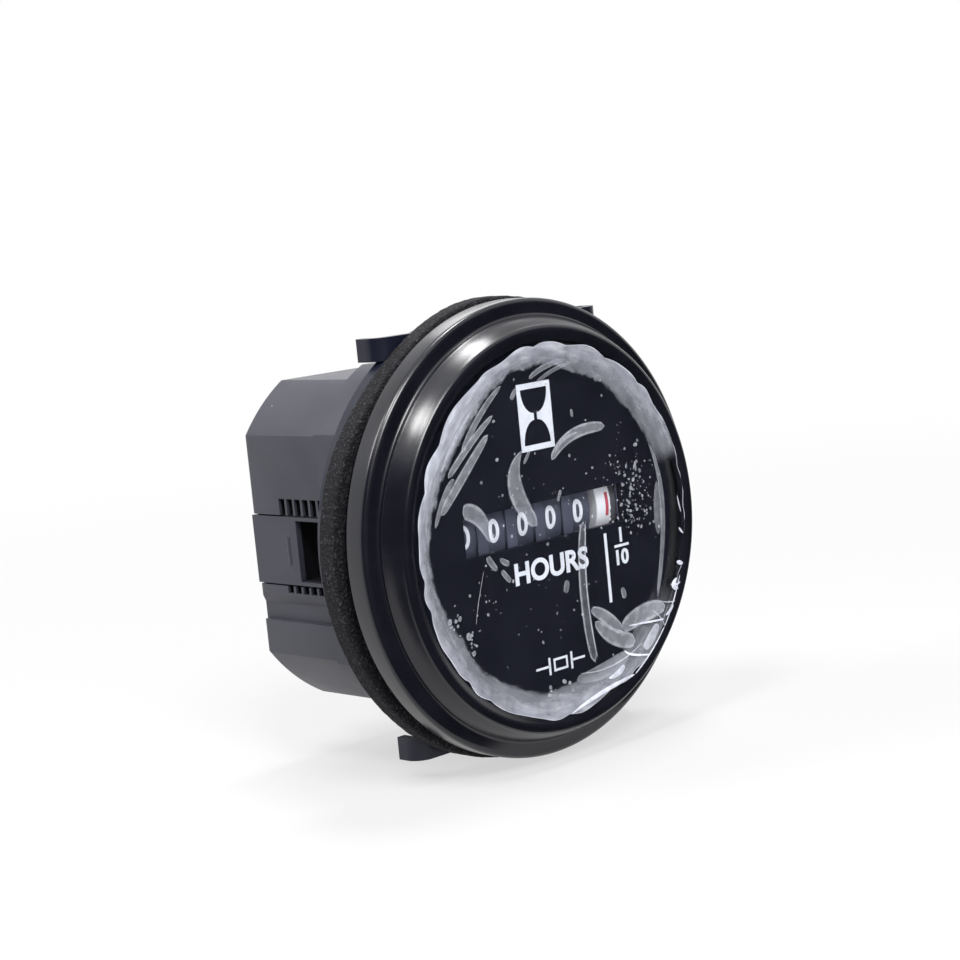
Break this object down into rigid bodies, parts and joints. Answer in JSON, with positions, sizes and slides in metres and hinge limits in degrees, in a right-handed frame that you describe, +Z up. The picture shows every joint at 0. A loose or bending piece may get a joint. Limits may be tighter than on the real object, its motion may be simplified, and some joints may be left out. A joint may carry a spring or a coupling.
{
  "type": "panel hour meter",
  "caption": "Round panel-mounted hour meter with a black bezel, foam gasket, drum counter and sliding rear clamp.",
  "frame": {"origin": "on the dial's axis, in the plane of the gasket's rear face, which lies on the panel's front", "axes": "+Y along the dial's axis into the panel, the dial faces -Y, +X to the dial's right, +Z up"},
  "size_m": [0.0612, 0.0455, 0.0612],
  "materials": {
    "bezel_black": "gloss",
    "foam_black": "matt open foam",
    "lens_clear": "clear polished",
    "film_clear": "clear, wrinkled",
    "seal_black": "matt",
    "dial_black": "satin print",
    "print_white": "printed ink",
    "case_grey": "fine matt moulding",
    "clamp_navy": "semi-gloss moulding",
    "frame_cream": "moulded",
    "shaft_steel": "ground",
    "drum_dark": "moulded",
    "drum_white": "moulded",
    "pinion_cream": "moulded",
    "wheel_tan": "moulded",
    "rotor_dark": "bonded magnet",
    "stator_grey": "rolled sheet",
    "bracket_grey": "rolled sheet",
    "bobbin_cream": "moulded",
    "winding_copper": "enamelled copper wire",
    "board_green": "lacquered laminate",
    "can_steel": "drawn can",
    "chip_black": "moulded",
    "capacitor_blue": "shrink sleeve",
    "diode_black": "moulded",
    "resistor_tan": "lacquered",
    "terminal_tin": "tin-plated",
    "screw_steel": "zinc-plated"
  },
  "bodies": {
    "case": {"bezel": "bezel_black", "panel_gasket": "foam_black", "lens": "lens_clear", "protective_film": "film_clear", "lens_seal": "seal_black", "dial_plate": "dial_black", "dial_print": "print_white", "rear_case": "case_grey", "counter_frame": "frame_cream", "drum_shaft": "shaft_steel", "pinion_shaft": "shaft_steel", "motor_stator": "stator_grey", "motor_bracket": "bracket_grey", "coil_bobbin": "bobbin_cream", "coil_winding": "winding_copper", "circuit_board": "board_green", "quartz_crystal": "can_steel", "driver_chip": "chip_black", "capacitor": "capacitor_blue", "diode": "diode_black", "resistors": "resistor_tan", "terminal_plus": "terminal_tin", "terminal_minus": "terminal_tin", "board_screws": "screw_steel", "frame_screws": "screw_steel"},
    "mounting_clamp": {"mounting_clamp": "clamp_navy"},
    "drum_tenths": {"drum_tenths": "drum_white"},
    "drum_ten_thousands": {"drum_ten_thousands": "drum_dark"},
    "drum_thousands": {"drum_thousands": "drum_dark"},
    "drum_hundreds": {"drum_hundreds": "drum_dark"},
    "drum_tens": {"drum_tens": "drum_dark"},
    "drum_ones": {"drum_ones": "drum_dark"},
    "pinion_ten_thousands": {"pinion_ten_thousands": "pinion_cream"},
    "pinion_thousands": {"pinion_thousands": "pinion_cream"},
    "pinion_hundreds": {"pinion_hundreds": "pinion_cream"},
    "pinion_tens": {"pinion_tens": "pinion_cream"},
    "pinion_ones": {"pinion_ones": "pinion_cream"},
    "drive_wheel": {"drive_wheel": "pinion_cream"},
    "reduction_wheel": {"reduction_wheel": "wheel_tan"},
    "motor_rotor": {"motor_rotor": "rotor_dark"}
  },
  "joints": [
    {"name": "tenths_spin", "type": "hinge", "parent": "case", "child": "drum_tenths", "pos_m": [0, -0.0012, 0.00108], "axis": [1, 0, 0], "continuous": true},
    {"name": "ones_spin", "type": "hinge", "parent": "case", "child": "drum_ones", "pos_m": [0, -0.0012, 0.00108], "axis": [1, 0, 0], "continuous": true},
    {"name": "ones_pinion_spin", "type": "hinge", "parent": "case", "child": "pinion_ones", "pos_m": [0, 0.0073, 0.00108], "axis": [1, 0, 0], "continuous": true},
    {"name": "tens_spin", "type": "hinge", "parent": "case", "child": "drum_tens", "pos_m": [0, -0.0012, 0.00108], "axis": [1, 0, 0], "continuous": true},
    {"name": "tens_pinion_spin", "type": "hinge", "parent": "case", "child": "pinion_tens", "pos_m": [0, 0.0073, 0.00108], "axis": [1, 0, 0], "continuous": true},
    {"name": "hundreds_spin", "type": "hinge", "parent": "case", "child": "drum_hundreds", "pos_m": [0, -0.0012, 0.00108], "axis": [1, 0, 0], "continuous": true},
    {"name": "hundreds_pinion_spin", "type": "hinge", "parent": "case", "child": "pinion_hundreds", "pos_m": [0, 0.0073, 0.00108], "axis": [1, 0, 0], "continuous": true},
    {"name": "thousands_spin", "type": "hinge", "parent": "case", "child": "drum_thousands", "pos_m": [0, -0.0012, 0.00108], "axis": [1, 0, 0], "continuous": true},
    {"name": "thousands_pinion_spin", "type": "hinge", "parent": "case", "child": "pinion_thousands", "pos_m": [0, 0.0073, 0.00108], "axis": [1, 0, 0], "continuous": true},
    {"name": "ten_thousands_spin", "type": "hinge", "parent": "case", "child": "drum_ten_thousands", "pos_m": [0, -0.0012, 0.00108], "axis": [1, 0, 0], "continuous": true},
    {"name": "ten_thousands_pinion_spin", "type": "hinge", "parent": "case", "child": "pinion_ten_thousands", "pos_m": [0, 0.0073, 0.00108], "axis": [1, 0, 0], "continuous": true},
    {"name": "drive_spin", "type": "hinge", "parent": "case", "child": "drive_wheel", "pos_m": [0.016, 0.00481, 0.00709], "axis": [1, 0, 0], "continuous": true},
    {"name": "reduction_spin", "type": "hinge", "parent": "case", "child": "reduction_wheel", "pos_m": [0.016, 0.0091, 0.01138], "axis": [1, 0, 0], "continuous": true},
    {"name": "rotor_spin", "type": "hinge", "parent": "case", "child": "motor_rotor", "pos_m": [0.011, 0.01434, 0.00835], "axis": [1, 0, 0], "continuous": true},
    {"name": "clamp_slide", "type": "slide", "parent": "case", "child": "mounting_clamp", "axis": [0, 1, 0], "range_m": [0, 0.012]}
  ],
  "couplings": [
    {"joint": "ones_spin", "follows": "tenths_spin", "ratio": 0.1},
    {"joint": "ones_pinion_spin", "follows": "tenths_spin", "ratio": -0.25},
    {"joint": "tens_spin", "follows": "tenths_spin", "ratio": 0.01},
    {"joint": "tens_pinion_spin", "follows": "tenths_spin", "ratio": -0.025},
    {"joint": "hundreds_spin", "follows": "tenths_spin", "ratio": 0.001},
    {"joint": "hundreds_pinion_spin", "follows": "tenths_spin", "ratio": -0.0025},
    {"joint": "thousands_spin", "follows": "tenths_spin", "ratio": 0.0001},
    {"joint": "thousands_pinion_spin", "follows": "tenths_spin", "ratio": -0.00025},
    {"joint": "ten_thousands_spin", "follows": "tenths_spin", "ratio": 0.00001},
    {"joint": "ten_thousands_pinion_spin", "follows": "tenths_spin", "ratio": -0.000025},
    {"joint": "drive_spin", "follows": "tenths_spin", "ratio": -2.5},
    {"joint": "reduction_spin", "follows": "tenths_spin", "ratio": 7.5},
    {"joint": "rotor_spin", "follows": "tenths_spin", "ratio": -22.5}
  ]
}
